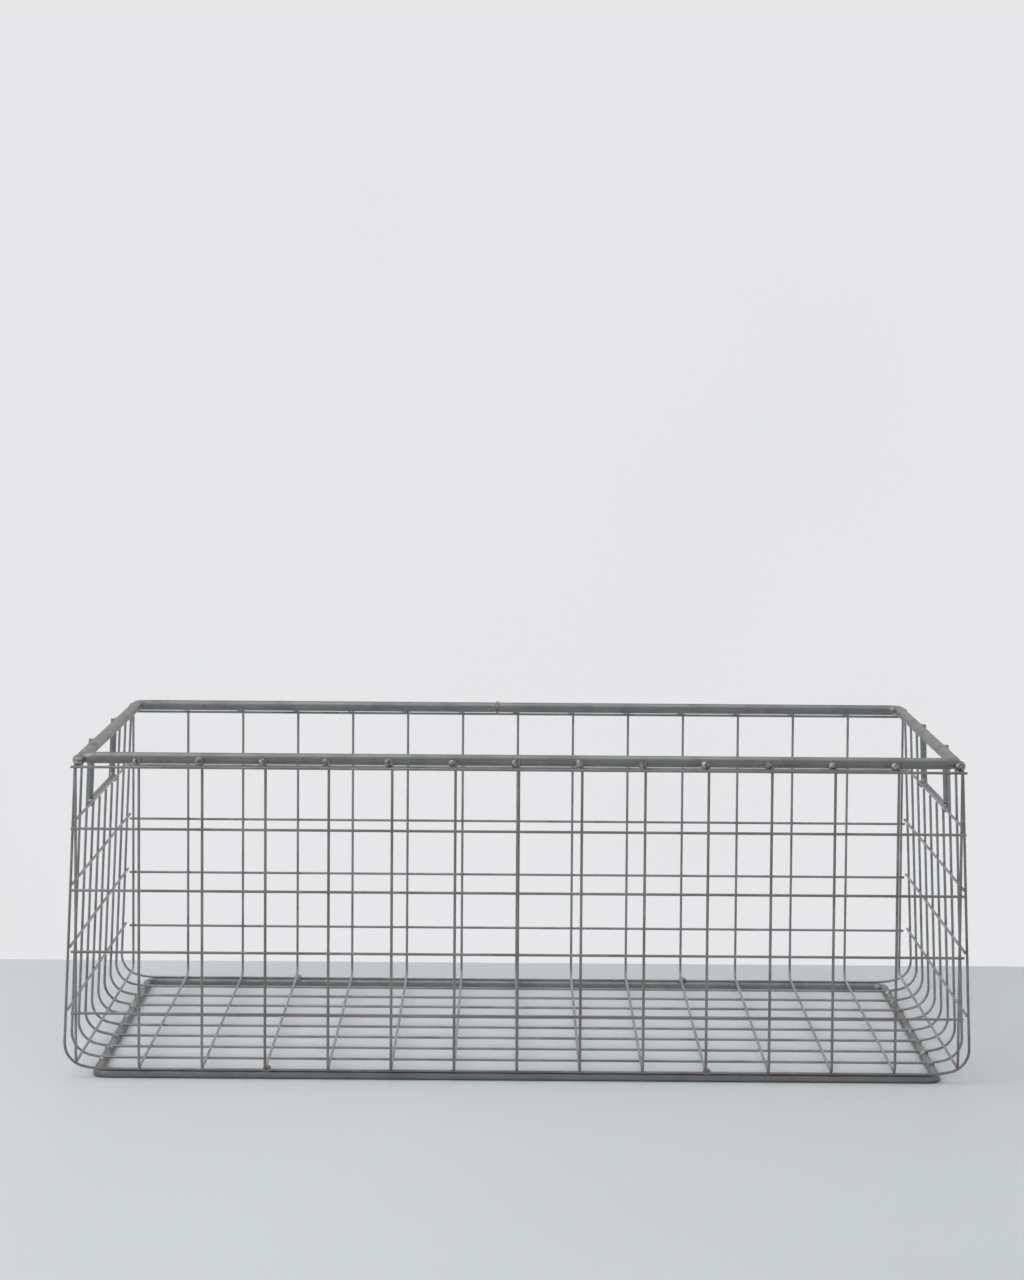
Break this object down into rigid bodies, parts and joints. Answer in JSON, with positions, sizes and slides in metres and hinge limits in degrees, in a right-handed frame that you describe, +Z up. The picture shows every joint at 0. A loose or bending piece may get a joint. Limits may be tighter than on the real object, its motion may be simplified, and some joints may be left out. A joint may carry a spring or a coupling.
{
  "type": "wire locker basket",
  "caption": "Open rectangular basket of welded steel wire mesh with a heavy rod rim, a rod foot frame and a finger hand-hold in each end wall.",
  "frame": {"origin": "middle of the footprint, on the surface that the basket stands on", "axes": "+X along the length towards the right end wall, +Y towards the back wall, +Z up"},
  "size_m": [0.4619, 0.302, 0.1677],
  "materials": {
    "rod_steel": "aged bare steel rod, dark satin",
    "wire_steel": "aged galvanised wire, dull satin",
    "weld_metal": "rough weld metal, slightly scaled"
  },
  "bodies": {
    "root": {"rim": "rod_steel", "rim_butt_weld": "weld_metal", "foot_frame": "rod_steel", "cross_wire_01": "wire_steel", "cross_wire_02": "wire_steel", "cross_wire_03": "wire_steel", "cross_wire_04": "wire_steel", "cross_wire_05": "wire_steel", "cross_wire_06": "wire_steel", "cross_wire_07": "wire_steel", "cross_wire_08": "wire_steel", "cross_wire_09": "wire_steel", "cross_wire_10": "wire_steel", "cross_wire_11": "wire_steel", "cross_wire_12": "wire_steel", "cross_wire_13": "wire_steel", "cross_wire_14": "wire_steel", "cross_wire_15": "wire_steel", "long_wire_01": "wire_steel", "long_wire_02": "wire_steel", "long_wire_03": "wire_steel", "long_wire_04": "wire_steel", "long_wire_05": "wire_steel", "long_wire_06": "wire_steel", "long_wire_07": "wire_steel", "long_wire_08": "wire_steel", "long_wire_09": "wire_steel", "long_wire_10": "wire_steel", "front_row_01": "wire_steel", "front_row_02": "wire_steel", "front_row_03": "wire_steel", "front_row_04": "wire_steel", "front_row_05": "wire_steel", "back_row_01": "wire_steel", "back_row_02": "wire_steel", "back_row_03": "wire_steel", "back_row_04": "wire_steel", "back_row_05": "wire_steel", "left_end_row_01": "wire_steel", "left_end_row_02": "wire_steel", "left_end_row_03": "wire_steel", "left_end_row_04": "wire_steel", "left_end_row_05": "wire_steel", "right_end_row_01": "wire_steel", "right_end_row_02": "wire_steel", "right_end_row_03": "wire_steel", "right_end_row_04": "wire_steel", "right_end_row_05": "wire_steel", "left_hand_hold": "rod_steel", "right_hand_hold": "rod_steel", "rim_front_welds": "weld_metal", "rim_back_welds": "weld_metal", "left_end_welds": "weld_metal", "right_end_welds": "weld_metal", "foot_front_welds": "weld_metal", "foot_back_welds": "weld_metal", "foot_left_welds": "weld_metal", "foot_right_welds": "weld_metal"}
  },
  "joints": []
}
